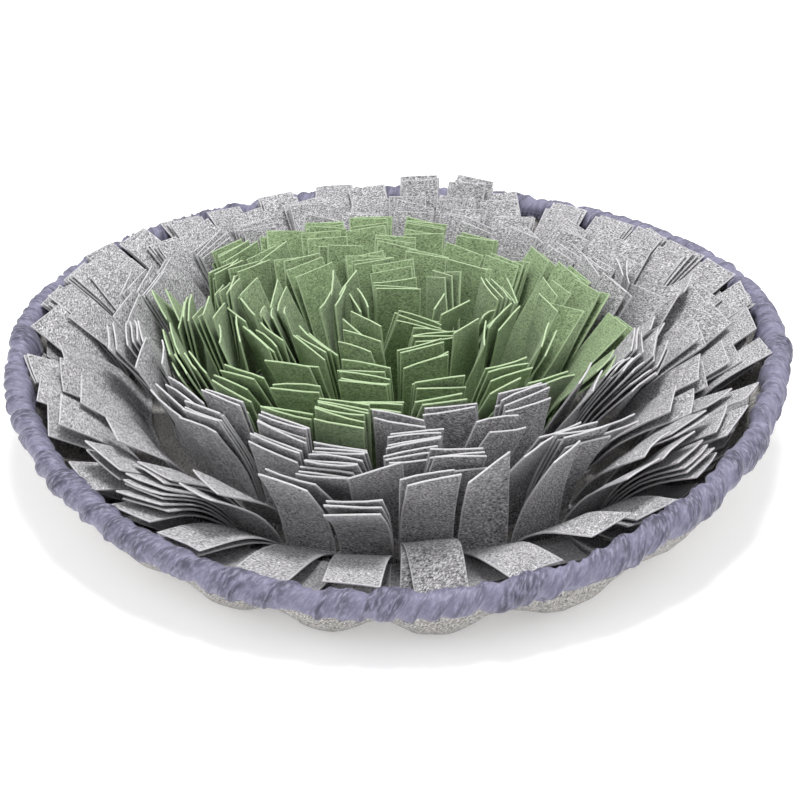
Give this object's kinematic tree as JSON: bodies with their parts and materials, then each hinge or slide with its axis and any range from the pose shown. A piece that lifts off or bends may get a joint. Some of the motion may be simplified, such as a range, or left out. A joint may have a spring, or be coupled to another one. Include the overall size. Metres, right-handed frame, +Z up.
{
  "type": "snuffle mat",
  "caption": "Round felt snuffle mat drawn up into a shallow bowl by a gathered rim band, with rings of upright felt flaps inside to hide treats.",
  "frame": {"origin": "middle of the footprint, on the flat underside that rests on the floor", "axes": "+Z up through the bowl's mouth; -Y towards the lowest part of the rim, the front; +X to the right of someone who looks at the front"},
  "size_m": [0.5062, 0.5282, 0.0873],
  "materials": {
    "base_felt": "matt pale grey-beige polyester felt",
    "band_cloth": "thin slate-purple woven polyester with a soft sheen",
    "grey_felt": "matt mottled grey felt, paler at its cut edges",
    "green_felt": "matt sage green felt, paler at its cut edges"
  },
  "bodies": {
    "root": {"base": "base_felt", "rim_band": "band_cloth", "green_1": "green_felt", "green_2": "green_felt", "green_3": "green_felt", "green_4": "green_felt", "green_5": "green_felt", "green_6": "green_felt", "grey_inner": "grey_felt", "grey_1": "grey_felt", "grey_2": "grey_felt", "grey_front": "grey_felt", "grey_3": "grey_felt"}
  },
  "joints": []
}
